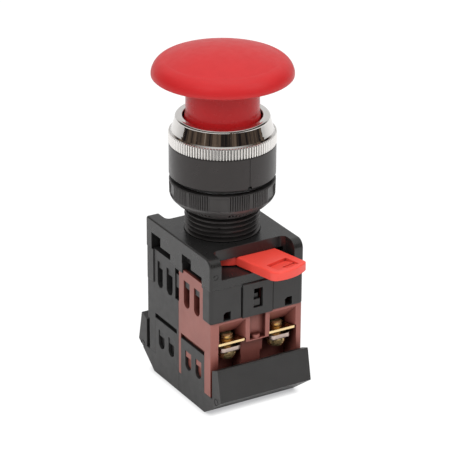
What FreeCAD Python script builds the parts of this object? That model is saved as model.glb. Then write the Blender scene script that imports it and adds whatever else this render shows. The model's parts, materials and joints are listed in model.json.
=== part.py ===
import FreeCAD, Part
import Sketcher
import math
import os

# Emergency stop pushbutton for a 22 mm panel hole, with its contact base.
# Millimetres. +Z is the button's axis, towards the operator. The origin lies on
# that axis, in the plane of the ring nut's upper face. The front of the contact
# base, with the lock lever and the NC block's terminals, faces -Y; left is -X.
# A range is written (low, high). Tools that open a face run a little past it.

V = FreeCAD.Vector
ROT = FreeCAD.Rotation
doc = FreeCAD.newDocument("EmergencyStopButton")
sheet = doc.addObject("Spreadsheet::Sheet", "Sheet")

DIMENSIONS = [
    # mushroom cap
    ("cap_radius", 20.4), ("cap_rim_z", 31.15), ("cap_side_z", 32.1),
    ("cap_shoulder_r", 16.5), ("cap_shoulder_z", 36.1), ("cap_top_z", 39.25),
    ("cap_edge_radius", 4.7),
    ("neck_radius", 10.64), ("skirt_radius", 11.0), ("skirt_low_z", 7.6),
    # bezel ring
    ("bezel_low_z", 11.0), ("bezel_flute_z", 14.45), ("bezel_top_z", 19.4),
    ("bezel_radius", 15.53), ("bezel_cone_low", 14.5), ("bezel_cone_top", 13.7),
    ("bezel_bore", 11.45), ("bezel_flutes", 110), ("bezel_flute_depth", 0.46),
    # head body and its threaded barrel
    ("body_radius", 15.45), ("body_low_z", 1.4), ("guide_radius", 11.06),
    ("barrel_radius", 11.0), ("barrel_bore", 9.3), ("barrel_low_z", -25.0),
    ("thread_pitch", 1.5), ("thread_depth", 0.92),
    ("web_top_z", -12.0), ("web_low_z", -14.0), ("stem_hole", 5.0), ("keyway_count", 3),
    # gasket, washer and ring nut
    ("gasket_radius", 14.3), ("gasket_low_z", 0.6),
    ("washer_radius", 13.6), ("washer_low_z", 0.02), ("washer_top_z", 0.57),
    ("nut_radius", 15.4), ("nut_height", 7.4), ("nut_bore", 11.06),
    ("nut_chamfer_z", -4.6), ("nut_low_radius", 12.9), ("nut_flats", 5),
    ("nut_flat_angle", -124.0), ("nut_flute_pitch", 2.6),
    # plunger, its foot and springs
    ("stem_radius", 4.95), ("stem_groove", 4.5), ("foot_radius", 8.8),
    ("spigot_radius", 3.5), ("spigot_low_z", -24.0),
    ("spring_mean_radius", 7.55), ("spring_wire", 1.0), ("detent_wire", 0.9),
    # base, whose centre stands a little off the button's axis
    ("base_x", 0.3), ("base_y", -0.5), ("terminal_shift", 0.5),
    ("base_half_x", 15.5), ("base_half_y", 19.0), ("base_top_z", -16.0),
    ("base_split_z", -25.3), ("carrier_low_z", -36.0), ("skirt_wrap_y", 14.6),
    # lock lever
    ("lever_top_z", -19.5), ("lever_low_z", -22.2), ("lever_ring_radius", 13.5),
    ("lever_left", 6.15), ("lever_right", 6.4), ("lever_reach", 29.2), ("lever_angle", 13.5),
    # contact blocks
    ("block_half_x", 15.2), ("block_depth", 18.5), ("block_top_z", -25.92),
    ("block_low_z", -59.2), ("block_front_in", 17.42),
    ("well_radius", 9.7), ("well_low_z", -30.6),
    ("cavity_in", 3.8), ("cavity_out", 13.1), ("cavity_back", 11.4),
    ("chamber_top_z", -32.2), ("chamber_low_z", -58.0), ("chamber_back", 10.4),
    ("plate_top_z", -43.0), ("plate_low_z", -43.8), ("screw_x", 8.35),
    ("screw_y", 14.75), ("screw_radius", 1.9), ("plunger_y", 7.0),
    # terminal covers
    ("cover_low_z", -65.6), ("cover_tab_top_z", -47.3), ("lip_top_z", -49.0),
    ("lip_in", 19.5), ("lip_out", 22.6), ("lip_wide", 24.5), ("lip_wide_z", -58.6),
    ("cover_foot_y", 15.0), ("lip_half_x", 15.2),
]
for row, (alias, value) in enumerate(DIMENSIONS, start=1):
    sheet.set("A%d" % row, alias)
    sheet.set("B%d" % row, repr(value))
    sheet.setAlias("B%d" % row, alias)
doc.recompute()


# ------------------------------------------------- sizes bound to the sheet
def parts_of(number):
    if isinstance(number, Size):
        return number.value, number.expr
    return float(number), "(%r)" % float(number)


def combine(left, sign, right, operation):
    (a, a_text), (b, b_text) = parts_of(left), parts_of(right)
    return Size(operation(a, b), "(%s %s %s)" % (a_text, sign, b_text))


class Size:
    """A number together with the expression that gives it from the sheet."""

    def __init__(self, value, expr):
        self.value, self.expr = float(value), expr

    def __add__(self, other):
        return combine(self, "+", other, float.__add__)

    __radd__ = __add__

    def __sub__(self, other):
        return combine(self, "-", other, float.__sub__)

    def __rsub__(self, other):
        return combine(other, "-", self, float.__sub__)

    def __mul__(self, other):
        return combine(self, "*", other, float.__mul__)

    __rmul__ = __mul__

    def __truediv__(self, other):
        return combine(self, "/", other, float.__truediv__)

    def __neg__(self):
        return Size(-self.value, "(0 - %s)" % self.expr)


class Dimensions:
    """The sheet's aliases as attributes."""


dim = Dimensions()
for alias, value in DIMENSIONS:
    setattr(dim, alias, Size(value, "Sheet." + alias))


def val(number):
    return parts_of(number)[0]


def bind(obj, prop, size):
    """Bind a property to the sheet, or set it when size is a plain number."""
    if isinstance(size, Size):
        obj.setExpression(prop, size.expr)
    elif prop.startswith("Placement.Base."):
        base = V(obj.Placement.Base)
        setattr(base, prop[-1], float(size))
        obj.Placement = FreeCAD.Placement(base, obj.Placement.Rotation)
    else:
        setattr(obj, prop, float(size))


# ------------------------------------------------------- solids and booleans
def box(name, x, y, z):
    obj = doc.addObject("Part::Box", name)
    for prop, (low, high) in (("Length", x), ("Width", y), ("Height", z)):
        bind(obj, prop, high - low)
    for axis, (low, high) in (("x", x), ("y", y), ("z", z)):
        bind(obj, "Placement.Base." + axis, low)
    return obj


AXIS_ROTATION = {"Z": ROT(), "X": ROT(V(0, 1, 0), 90), "Y": ROT(V(1, 0, 0), -90)}


def cyl(name, radius, low, high, at=(0, 0), axis="Z"):
    """Cylinder from low to high along axis; at holds its other coordinates in x, y, z order."""
    obj = doc.addObject("Part::Cylinder", name)
    obj.Placement = FreeCAD.Placement(V(0, 0, 0), AXIS_ROTATION[axis])
    bind(obj, "Radius", radius)
    bind(obj, "Height", high - low)
    across = [other for other in "xyz" if other != axis.lower()]
    bind(obj, "Placement.Base." + axis.lower(), low)
    bind(obj, "Placement.Base." + across[0], at[0])
    bind(obj, "Placement.Base." + across[1], at[1])
    return obj


def wedge(name, y, low_end, high_end):
    """Frustum along Y between two rectangles, each given as its (x, z) ranges."""
    obj = doc.addObject("Part::Wedge", name)
    for prefix, limits in (("X", low_end[0]), ("Y", y), ("Z", low_end[1]),
                           ("X2", high_end[0]), ("Z2", high_end[1])):
        bind(obj, prefix + "min", limits[0])
        bind(obj, prefix + "max", limits[1])
    return obj


def fuse(name, items):
    if len(items) == 1:
        return items[0]
    obj = doc.addObject("Part::MultiFuse", name)
    obj.Shapes = items
    obj.Refine = True
    return obj


def cut(name, base, tools):
    obj = doc.addObject("Part::Cut", name)
    obj.Base = base
    obj.Tool = fuse(name + "_tools", tools)
    obj.Refine = True
    return obj


def fillet(name, base, *rules):
    """Round the edges that pass a rule; each rule is (test, radius) and the first match counts.

    A test is given the middle of the edge and its direction there.
    """
    doc.recompute()
    obj = doc.addObject("Part::Fillet", name)
    obj.Base = base
    edges = []
    for number, edge in enumerate(base.Shape.Edges, start=1):
        halfway = (edge.FirstParameter + edge.LastParameter) / 2
        mid, way = edge.valueAt(halfway), edge.tangentAt(halfway)
        for test, radius in rules:
            if test(mid, way):
                edges.append((number, radius, radius))
                break
    if not edges:
        raise RuntimeError("no edge to round in " + name)
    obj.Edges = edges
    return obj


def upright(mid, way):
    return abs(way.z) > 0.9


def feature(name, shape):
    """A document object for a shape made with Part's own functions."""
    obj = doc.addObject("Part::Feature", name)
    obj.Shape = shape
    obj.Placement = shape.Placement
    return obj


def line(start, end):
    return Part.LineSegment(V(*start), V(*end)).toShape()


def arc(start, middle, end):
    return Part.Arc(V(*start), V(*middle), V(*end)).toShape()


def extrude(points, way):
    """Prism on a closed polygon of (x, y, z) points."""
    corners = [V(*point) for point in points]
    return Part.Face(Part.makePolygon(corners + corners[:1])).extrude(V(*way))


def spun(shape, degrees):
    """The shape itself, turned about the Z axis."""
    shape.rotate(V(0, 0, 0), V(0, 0, 1), degrees)
    return shape


def spring(name, mean_radius, wire, low_z, high_z, coils, y=0.0):
    """Helical compression spring standing between two planes, with 0.02 to spare at each."""
    start = val(low_z) + wire / 2.0 + 0.02
    height = val(high_z) - wire / 2.0 - 0.02 - start
    path = Part.makeLongHelix(height / coils, height, mean_radius)
    section = Part.Wire(Part.makeCircle(wire / 2.0, V(mean_radius, 0, 0), V(0, 1, 0)))
    shape = Part.Wire(path).makePipeShell([section], True, True)
    shape.translate(V(0, y, start))
    return feature(name, shape)


# -------------------------------------------------------- sketches and bodies
def plane_of(body, role):
    for plane in body.Origin.OriginFeatures:
        if plane.Role == role:
            return plane
    raise RuntimeError(role)


def arc_between(start, end, radius):
    """Arc of less than half a turn, centred to the left of start-end, and its end numbers."""
    chord = end - start
    height = math.sqrt(max(radius * radius - chord.Length ** 2 / 4.0, 0.0))
    centre = (start + end) * 0.5 + V(-chord.y, chord.x, 0).normalize() * height
    angle1 = math.atan2(start.y - centre.y, start.x - centre.x)
    angle2 = math.atan2(end.y - centre.y, end.x - centre.x)
    circle = Part.Circle(centre, V(0, 0, 1), radius)
    if (angle2 - angle1) % (2 * math.pi) <= math.pi:
        return Part.ArcOfCircle(circle, angle1, angle2), (1, 2)
    return Part.ArcOfCircle(circle, angle2, angle1), (2, 1)


def sketch(body, name, role, points, arcs=None, offset=None):
    """Closed profile, fully constrained. arcs maps the index of a segment to its radius."""
    arcs = arcs or {}
    obj = body.newObject("Sketcher::SketchObject", name)
    obj.AttachmentSupport = [(plane_of(body, role), "")]
    obj.MapMode = "FlatFace"
    if offset is not None:
        obj.AttachmentOffset = FreeCAD.Placement(V(0, 0, val(offset)), ROT())
        if isinstance(offset, Size):
            obj.setExpression("AttachmentOffset.Base.z", offset.expr)
    count = len(points)
    corners = [V(val(x), val(y), 0) for x, y in points]
    ends = []
    for i in range(count):
        start, end = corners[i], corners[(i + 1) % count]
        if i in arcs:
            geometry, numbers = arc_between(start, end, val(arcs[i]))
        else:
            geometry, numbers = Part.LineSegment(start, end), (1, 2)
        obj.addGeometry(geometry, False)
        ends.append(numbers)

    constraints, expressions = [], []

    def constrain(size, *arguments):
        constraints.append(Sketcher.Constraint(*arguments, val(size)))
        if isinstance(size, Size):
            expressions.append((len(constraints) - 1, size.expr))

    for i in range(count):
        following = (i + 1) % count
        constraints.append(
            Sketcher.Constraint("Coincident", i, ends[i][1], following, ends[following][0]))
    for i in range(count):
        for size, kind, axis in zip(points[i], ("DistanceX", "DistanceY"), (-2, -1)):
            if abs(val(size)) < 1e-9:
                constraints.append(Sketcher.Constraint("PointOnObject", i, ends[i][0], axis))
            else:
                constrain(size, kind, -1, 1, i, ends[i][0])
    for i, radius in arcs.items():
        constrain(radius, "Radius", i)
    obj.addConstraint(constraints)
    for index, expr in expressions:
        obj.setExpression("Constraints[%d]" % index, expr)
    return obj


def new_body(name):
    return doc.addObject("PartDesign::Body", name)


def turned(body_name, name, points, arcs=None):
    """New body: a profile of (radius, z) points turned about the Z axis."""
    body = new_body(body_name)
    profile = sketch(body, name + "_profile", "XZ_Plane", points, arcs)
    obj = body.newObject("PartDesign::Revolution", name)
    obj.Profile = profile
    obj.ReferenceAxis = (profile, ["V_Axis"])
    obj.Angle = 360
    profile.Visibility = False
    body.Tip = obj
    return body


def pad(body, name, points, low, high, role):
    profile = sketch(body, name + "_profile", role, points, offset=low)
    obj = body.newObject("PartDesign::Pad", name)
    obj.Profile = profile
    bind(obj, "Length", high - low)
    body.Tip = obj


def pocket(body, name, points, low_z, high_z):
    """Remove a profile of (x, y) points from low_z up to high_z."""
    profile = sketch(body, name + "_profile", "XY_Plane", points, offset=low_z)
    obj = body.newObject("PartDesign::Pocket", name)
    obj.Profile = profile
    obj.Reversed = True
    bind(obj, "Length", high_z - low_z)
    body.Tip = obj
    doc.recompute()
    return obj


def polar(body, name, original, count):
    obj = body.newObject("PartDesign::PolarPattern", name)
    obj.Originals = [original]
    obj.Axis = (original.Profile[0], ["N_Axis"])
    obj.Angle = 360
    bind(obj, "Occurrences", count)
    body.Tip = obj


def rect(x0, x1, y0, y1):
    return [(x0, y0), (x1, y0), (x1, y1), (x0, y1)]


# ------------------------------------------------------------------- pieces
PIECES = []


def piece(obj, label):
    obj.Label = label
    PIECES.append(obj)


def base_piece(obj, label):
    """A piece drawn about the base's own centre, set off the button's axis."""
    at = V(obj.Placement.Base)
    bind(obj, "Placement.Base.x", dim.base_x + at.x)
    bind(obj, "Placement.Base.y", dim.base_y + at.y)
    piece(obj, label)


# ============================================================ operator head
FLANGE_LOW_Z = dim.skirt_low_z + 0.4  # outer underside of the plunger's flange


def mushroom_cap():
    """Domed disc, recessed underneath, on a hollow neck and skirt."""
    rim_in = dim.cap_radius - 1.6
    rise = dim.cap_top_z - dim.cap_shoulder_z
    # a crown of this radius has its centre on the axis
    crown_radius = (dim.cap_shoulder_r * dim.cap_shoulder_r + rise * rise) / (2 * rise)
    hollow_top, hollow_radius = dim.cap_top_z - 6.2, 8.6
    step_z, step_radius = dim.skirt_low_z + 2.95, 10.0
    body = turned("MushroomCapBody", "CapTurned", [
        (0, dim.cap_top_z), (0, hollow_top), (hollow_radius, hollow_top),
        (hollow_radius, step_z), (step_radius, step_z), (step_radius, dim.skirt_low_z),
        (dim.skirt_radius, dim.skirt_low_z), (dim.skirt_radius, 18.9), (dim.neck_radius, 20.3),
        (dim.neck_radius, dim.cap_rim_z + 1.9), (dim.neck_radius + 1.0, dim.cap_rim_z + 2.7),
        (rim_in - 1.3, dim.cap_rim_z + 2.3), (rim_in, dim.cap_rim_z),
        (dim.cap_radius - 0.25, dim.cap_rim_z), (dim.cap_radius, dim.cap_rim_z + 0.25),
        (dim.cap_radius, dim.cap_side_z), (dim.cap_shoulder_r, dim.cap_shoulder_z),
    ], {15: dim.cap_edge_radius, 16: crown_radius})
    piece(body, "mushroom_cap")


def bezel_ring():
    """Fluted flange, cone above it, spigot into the head body."""
    radius, bore = dim.bezel_radius, dim.bezel_bore
    low, flute_top, top = dim.bezel_low_z, dim.bezel_flute_z, dim.bezel_top_z
    body = turned("BezelBody", "BezelTurned", [
        (bore, low), (12.9, low), (12.9, low - 2.8), (13.85, low - 2.8), (13.85, low),
        (radius - 0.15, low), (radius, low + 0.15),
        (radius, flute_top - 0.2), (radius - 0.12, flute_top),
        (15.05, flute_top), (14.72, flute_top + 0.5), (dim.bezel_cone_low, flute_top + 1.25),
        (dim.bezel_cone_top, top - 0.85), (dim.bezel_cone_top - 0.85, top),
        (bore + 0.5, top), (bore, top - 0.5),
    ], {12: 0.87, 14: 0.51})
    root = radius - dim.bezel_flute_depth
    flute = pocket(body, "BezelFlute", [
        (radius + 0.1, -0.43), (radius + 0.1, 0.43), (root, 0.1), (root, -0.1),
    ], low - 0.1, flute_top + 0.1)
    polar(body, "BezelFlutes", flute, dim.bezel_flutes)
    piece(body, "bezel_ring")


def barrel_thread():
    """M22 x 1.5 thread drawn as rings: sloping flanks, flat crests and roots."""
    rings = 12
    crest, root = dim.barrel_radius, dim.barrel_radius - dim.thread_depth
    groove_half, root_half = 0.66, 0.16
    points = []
    for ring in range(rings):
        z = -dim.thread_pitch * ring
        points += [(crest, z + groove_half), (root, z + root_half),
                   (root, z - root_half), (crest, z - groove_half)]
    return points


def head_body():
    """Housing under the bezel, one moulding with the threaded barrel."""
    radius, low = dim.body_radius, dim.body_low_z
    barrel, barrel_low, bore = dim.barrel_radius, dim.barrel_low_z, dim.barrel_bore
    top = dim.bezel_low_z - 0.02
    guide_low, guide_top = 2.4, 8.85
    neck_radius, neck_top, neck_low = 10.1, -19.38, -22.32  # room for the lever's lugs
    body = turned("HeadBody", "HeadTurned", [
        (dim.guide_radius, guide_low), (dim.guide_radius, guide_top),
        (12.65, guide_top), (12.65, top), (12.85, top), (12.85, dim.bezel_low_z - 2.9),
        (13.9, dim.bezel_low_z - 2.9), (13.9, top),
        (radius - 0.2, top), (radius, dim.bezel_low_z - 0.22), (radius, low + 0.35),
        (radius - 0.35, low), (barrel, low)] + barrel_thread() + [
        (barrel, neck_top), (neck_radius, neck_top), (neck_radius, neck_low),
        (barrel - 0.05, neck_low), (barrel - 0.05, barrel_low + 0.5),
        (barrel - 0.55, barrel_low), (bore, barrel_low),
        (bore, dim.web_low_z), (dim.stem_hole, dim.web_low_z),
        (dim.stem_hole, dim.web_top_z), (bore, dim.web_top_z), (bore, guide_low),
    ])
    # index notch in the lower edge, and the parting groove above it, facing the front
    pocket(body, "IndexNotch", rect(-0.65, 0.65, -(radius + 0.5), -(radius - 1.35)),
           low - 0.1, low + 0.95)
    pocket(body, "PartingGroove",
           [(-0.2, -(radius + 0.2)), (0.2, -(radius + 0.2)), (0.0, -(radius - 0.24))],
           low + 0.9, 10.9)
    # seat of the detent wire in the web's upper face
    pocket(body, "DetentSeat", rect(-6.0, 6.0, -8.3, 8.3),
           dim.web_top_z - 1.1, dim.web_top_z + 0.05)
    # keyways that let the lever ring's lugs onto the barrel
    keyway = pocket(body, "Keyway", rect(10.1, 11.4, -2.15, 2.15), barrel_low - 0.1, -22.25)
    polar(body, "Keyways", keyway, dim.keyway_count)
    piece(body, "head_body")


def stem_seal():
    """Lip ring round the cap's skirt, held under the bezel."""
    inner, outer = dim.skirt_radius + 0.06, 12.6
    piece(turned("StemSealBody", "SealTurned", [
        (inner, 9.6), (11.5, 8.9), (outer, 8.9), (outer, 10.95), (11.6, 10.95), (inner, 10.3),
    ]), "stem_seal")


def panel_gasket():
    """Flat ring with one shallow raised band on its lower face."""
    inner, low, top = dim.barrel_radius + 0.12, dim.gasket_low_z, dim.body_low_z - 0.01
    face = low + 0.08
    piece(turned("GasketBody", "GasketTurned", [
        (inner, face), (12.0, face), (12.3, low), (13.4, low), (13.7, face),
        (dim.gasket_radius, face), (dim.gasket_radius, top), (inner, top),
    ]), "panel_gasket")


def thrust_washer():
    """Thin ring between panel and nut, with its outer edges bevelled."""
    inner, outer, bevel = dim.barrel_radius + 0.08, dim.washer_radius, 0.1
    low, top = dim.washer_low_z, dim.washer_top_z
    piece(turned("ThrustWasherBody", "WasherTurned", [
        (inner, low), (outer - bevel, low), (outer, low + bevel), (outer, top - bevel),
        (outer - bevel, top), (inner, top),
    ]), "thrust_washer")


def nut_relief(radius, height):
    """Flats and flutes of the nut's side, and the notches of its lower edge."""
    flat_half, flat_depth = 2.85, 0.62
    flutes_per_side, first_flute = 9, 12.4  # angle from the middle of a flat
    notches, first_notch = 12, 12.5
    notch_in, notch_length = 11.9, 3.0
    count = int(dim.nut_flats.value)
    step = 360.0 / count
    flat_outline = rect(radius - flat_depth, radius + 1.0, -flat_half, flat_half)
    flute_outline = [(radius + 0.4, -0.28), (radius + 0.4, 0.28), (radius - 0.12, 0.2),
                     (radius - 0.4, 0.0), (radius - 0.12, -0.2)]
    # a notch opens downwards and outwards: (y, z) points
    notch_outline = [(-0.34, -height - 0.1), (0.34, -height - 0.1),
                     (0.22, -height + 0.95), (-0.22, -height + 0.95)]
    flat_solids, flute_solids, notch_solids = [], [], []
    for i in range(count):
        middle = dim.nut_flat_angle.value + i * step
        solid = extrude([(x, y, -4.85) for x, y in flat_outline], (0, 0, 4.3))
        flat_solids.append(spun(solid, middle))
        for hand in (-1, 1):
            for k in range(flutes_per_side):
                angle = middle + hand * (first_flute + k * dim.nut_flute_pitch.value)
                solid = extrude([(x, y, -4.75) for x, y in flute_outline], (0, 0, 4.85))
                flute_solids.append(spun(solid, angle))
        for k in range(notches):
            angle = middle + first_notch + k * (step - 2 * first_notch) / (notches - 1)
            solid = extrude([(notch_in, y, z) for y, z in notch_outline], (notch_length, 0, 0))
            notch_solids.append(spun(solid, angle))
    return feature("NutRelief", Part.makeCompound(flat_solids + flute_solids + notch_solids))


def ring_nut():
    """Side flutes between smooth flats, serrated lower edge."""
    radius, height, bore = dim.nut_radius, dim.nut_height, dim.nut_bore
    low_radius = dim.nut_low_radius
    body = turned("RingNutBody", "NutTurned", [
        (bore, -0.5), (bore + 0.5, 0), (radius - 0.25, 0), (radius, -0.25),
        (radius - 0.1, dim.nut_chamfer_z), (radius - 0.55, -5.5),
        (low_radius + 0.55, -height + 0.45), (low_radius, -height),
        (bore + 0.6, -height), (bore, -height + 0.6)])
    piece(cut("RingNut", body, [nut_relief(radius.value, height.value)]), "ring_nut")


def button_plunger():
    """Flange under the cap, grooved stem through the web, spigot for the foot."""
    stem, neck, spigot = dim.stem_radius, dim.stem_groove, dim.spigot_radius
    shoulder_z, flange_radius = dim.web_low_z - 0.03, 9.95
    piece(turned("PlungerBody", "PlungerTurned", [
        (0, FLANGE_LOW_Z + 2.5), (0, dim.spigot_low_z), (spigot, dim.spigot_low_z),
        (spigot, shoulder_z), (neck, shoulder_z),
        (neck, -11.9), (stem, -11.3), (stem, -8.3), (neck, -7.7), (neck, -6.4), (stem, -5.9),
        (stem, FLANGE_LOW_Z - 1.2), (6.2, FLANGE_LOW_Z),
        (flange_radius, FLANGE_LOW_Z), (flange_radius, FLANGE_LOW_Z + 2.5),
    ]), "button_plunger")


def plunger_foot():
    """Sits on the spigot below the web, stops the plunger and presses the blocks."""
    top, low = dim.web_low_z - 0.05, dim.barrel_low_z + 0.1
    socket_radius, socket_low = dim.spigot_radius + 0.02, dim.spigot_low_z - 0.02
    piece(turned("FootBody", "FootTurned", [
        (socket_radius, top), (6.3, top), (6.3, -22.6), (dim.foot_radius, -23.1),
        (dim.foot_radius, low), (0, low), (0, socket_low), (socket_radius, socket_low),
    ]), "plunger_foot")


def return_spring():
    piece(spring("ReturnSpring", dim.spring_mean_radius.value, dim.spring_wire.value,
                 dim.web_top_z, FLANGE_LOW_Z, coils=7.0), "return_spring")


def detent_wire():
    """Hairpin whose legs lie on both sides of the stem, open to the front."""
    wire = dim.detent_wire.value / 2.0
    leg_x = dim.stem_radius.value + 0.05 + wire
    z = dim.web_top_z.value - 0.55
    front_y, bend_y, back_y = -7.6, 5.8, 7.25
    bend_mid_y = 6.8
    bend_mid_x, bend_end_x = leg_x - 0.42, leg_x - 1.45
    path = Part.Wire([
        line((-leg_x, front_y, z), (-leg_x, bend_y, z)),
        arc((-leg_x, bend_y, z), (-bend_mid_x, bend_mid_y, z), (-bend_end_x, back_y, z)),
        line((-bend_end_x, back_y, z), (bend_end_x, back_y, z)),
        arc((bend_end_x, back_y, z), (bend_mid_x, bend_mid_y, z), (leg_x, bend_y, z)),
        line((leg_x, bend_y, z), (leg_x, front_y, z))])
    section = Part.Wire(Part.makeCircle(wire, V(-leg_x, front_y, z), V(0, 1, 0)))
    piece(feature("DetentWire", path.makePipeShell([section], True, True)), "detent_wire")


# ==================================================== housing, lever, carrier
# "end" is -1 at the front and 1 at the back; "hand" is -1 at the left, 1 at the right.
HANDS = ((-1, "L"), (1, "R"))
BUTTON_AXIS = (-dim.base_x, -dim.base_y)  # seen from the base's centre
# y ranges of the slots that take the carrier's hooked legs
LEG_SLOTS = [(-6.5, -3.1), (-12.3, -9.0), (3.5, 7.1), (9.4, 12.5)]
# x ranges of the skirt windows, left and right for someone facing that skirt
WINDOW_X = {-1: (-11.2, -8.8), 1: (9.3, 11.7)}
WINDOW_LOW_Z, WINDOW_TOP_Z = -35.5, -32.9


def side(sign, low, high):
    """Range low..high measured outwards on the given side (-1 or 1)."""
    return (low, high) if sign > 0 else (-high, -low)


def shifted(sign, low, high, dx):
    """side() moved along X."""
    start, end = side(sign, low, high)
    return start + dx, end + dx


def adapter_housing():
    """Box round the barrel with lever openings, side windows and snap tongues."""
    half_x, half_y = dim.base_half_x, dim.base_half_y
    top, split = dim.base_top_z, dim.base_split_z
    ring = dim.lever_ring_radius
    opening_low, ring_top = dim.lever_low_z - 0.35, dim.lever_top_z + 0.1
    near_top = top.value - 0.1
    shell = box("HousingBlock", (-half_x, half_x), (-half_y, half_y), (split, top))
    shell = fillet(
        "HousingRounds", shell,
        (lambda mid, way: abs(way.x) > 0.9 and mid.z > near_top and mid.y < 0, 2.8),
        (lambda mid, way: abs(way.x) > 0.9 and mid.z > near_top and mid.y > 0, 1.0),
        (lambda mid, way: abs(way.y) > 0.9 and mid.z > near_top, 0.5),
        (upright, 0.7))
    tools = [cyl("BarrelHole", dim.barrel_radius + 0.1, split - 1, top + 1, at=BUTTON_AXIS),
             cyl("LeverRingRoom", ring + 0.12, dim.lever_low_z - 0.1, ring_top, at=BUTTON_AXIS),
             # slot under the top plate in which the lever's root swings
             box("LeverSlot", (-11.9, 12.3), (-ring - 0.2, -9.5), (opening_low, ring_top))]
    for end, tag, x, inset in ((-1, "Front", (-11.9, 12.3), 0.2), (1, "Back", (-11.7, 11.7), 0.3)):
        opening = box("Opening" + tag, x, side(end, ring - inset, half_y + 1),
                      (opening_low, top + 1))
        tools.append(fillet("Opening%sRound" % tag, opening,
                            (lambda mid, way: upright(mid, way) and abs(mid.y) < 14, 1.6)))
    # side windows, L shaped, on both sides: name, depth, y range, z range
    windows = [("RearWindow", 3.2, (10.1, 15.6), (-22.9, -20.1)),
               ("RearSlot", 3.2, (4.3, 15.6), (split - 1, -22.85)),
               ("FrontWindow", 1.75, (-7.8, -2.5), (-22.9, -19.9)),
               ("FrontSlot", 3.2, (-14.0, -2.7), (split - 1, -22.85))]
    for hand, tag in HANDS:
        tools += [box(name + tag, side(hand, half_x - depth, half_x + 1), y, z)
                  for name, depth, y, z in windows]
    # shallow ring mark on the front face
    mark_at = (-13.8, -21.2)
    tools.append(cut(
        "FrontRingMark",
        cyl("FrontRingOuter", 0.85, -half_y - 1, -half_y + 0.15, at=mark_at, axis="Y"),
        [cyl("FrontRingInner", 0.5, -half_y - 2, -half_y + 1, at=mark_at, axis="Y")]))
    parts = [cut("HousingCut", shell, tools)]
    # snap tongues that hook into the carrier's tabs, front and back
    for end, tag in ((-1, "Front"), (1, "Back")):
        parts += [
            box("Tongue" + tag, (-1.3, -0.55), side(end, 17.5, 18.2), (-33.2, split + 0.3)),
            box("TongueStep" + tag, (-1.3, 0.75), side(end, 17.5, 18.1), (-33.2, -29.6)),
            box("TongueHook" + tag, (-1.3, 0.95), side(end, 17.9, 18.9), (-33.15, -31.1))]
    base_piece(fuse("AdapterHousing", parts), "adapter_housing")


def lever_tab():
    """Thumb tab with a curved tip."""
    left, right = -dim.lever_left.value, dim.lever_right.value
    tip = -dim.lever_reach.value
    root = -11.6  # inside the ring
    low, top = dim.lever_low_z.value, dim.lever_top_z.value
    outline = [line((left, root, low), (right, root, low)),
               line((right, root, low), (right, tip + 1.25, low)),
               arc((right, tip + 1.25, low), (0.6, tip, low), (left, tip + 1.9, low)),
               line((left, tip + 1.9, low), (left, root, low))]
    tab = feature("LeverTab", Part.Face(Part.Wire(outline)).extrude(V(0, 0, top - low)))
    tab = fillet("LeverTabTip", tab,
                 (lambda mid, way: upright(mid, way) and mid.y < -20 and mid.x > 0, 0.7),
                 (lambda mid, way: upright(mid, way) and mid.y < -20 and mid.x < 0, 2.2))
    return fillet("LeverTabEdge", tab, (
        lambda mid, way: abs(way.z) < 0.1 and mid.y < -12.5 and mid.z > top - 0.05, 0.5))


def lever_lugs():
    """Lugs inside the ring; locked, each stands between two keyways."""
    low, top = dim.lever_low_z, dim.lever_top_z
    ring = cut("LugRing", cyl("LugOuter", dim.barrel_radius + 0.5, low + 0.1, top - 0.1),
               [cyl("LugInner", 10.28, low, top)])
    locked_angle = 28.0  # turning back by this brings each lug over its keyway
    count = int(dim.keyway_count.value)
    sectors = []
    for k in range(count):
        sector = box("LugSector%d" % k, (9.5, 12.2), (-1.9, 1.9), (low, top))
        angle = 360.0 / count * k + locked_angle - dim.lever_angle.value
        spin = FreeCAD.Placement(V(0, 0, 0), ROT(V(0, 0, 1), angle))
        sector.Placement = spin.multiply(sector.Placement)
        sectors.append(sector)
    lugs = doc.addObject("Part::MultiCommon", "Lugs")
    lugs.Shapes = [ring, fuse("LugSectors", sectors)]
    return lugs


def lock_lever():
    """Ring round the barrel with lugs inside and the thumb tab in front."""
    low, top = dim.lever_low_z, dim.lever_top_z
    tab = lever_tab()
    lever = fuse("LeverSolid", [cyl("LeverRing", dim.lever_ring_radius, low, top), tab])
    over = top + 0.5
    recess_x, step_x = (-4.0, 3.7), (-1.0, 3.7)
    lever = cut("LeverCut", lever, [
        cyl("LeverBore", dim.barrel_radius + 0.08, low - 1, top + 1),
        wedge("LeverThumbRecess", (-26.9, -22.2),
              (recess_x, (top - 0.1, over)), (recess_x, (top - 0.95, over))),
        wedge("LeverThumbStep", (-27.6, -25.6),
              (step_x, (top - 0.15, over)), (step_x, (top - 0.7, over)))])
    lever = fuse("LockLever", [lever, lever_lugs()])
    # the placement gives the rotation its axis, the expression its angle
    lever.Placement = FreeCAD.Placement(V(0, 0, 0), ROT(V(0, 0, 1), dim.lever_angle.value))
    lever.setExpression("Placement.Rotation.Angle", dim.lever_angle.expr)
    piece(lever, "lock_lever")


def skirt_windows():
    """Windows with one cut corner, the same seen from the front and from the back."""
    solids = []
    for end in (-1, 1):
        y0, y1 = side(end, 16.5, 19.5)
        for hand in (-1, 1):
            x0, x1 = WINDOW_X[hand]
            outline = [(x0, WINDOW_LOW_Z), (x1, WINDOW_LOW_Z), (x1, WINDOW_TOP_Z),
                       (x0 + 0.75, WINDOW_TOP_Z), (x0, -33.5)]
            solids.append(extrude([(-end * x, y0, z) for x, z in outline], (0, y1 - y0, 0)))
    return feature("SkirtWindows", Part.makeCompound(solids))


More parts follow.
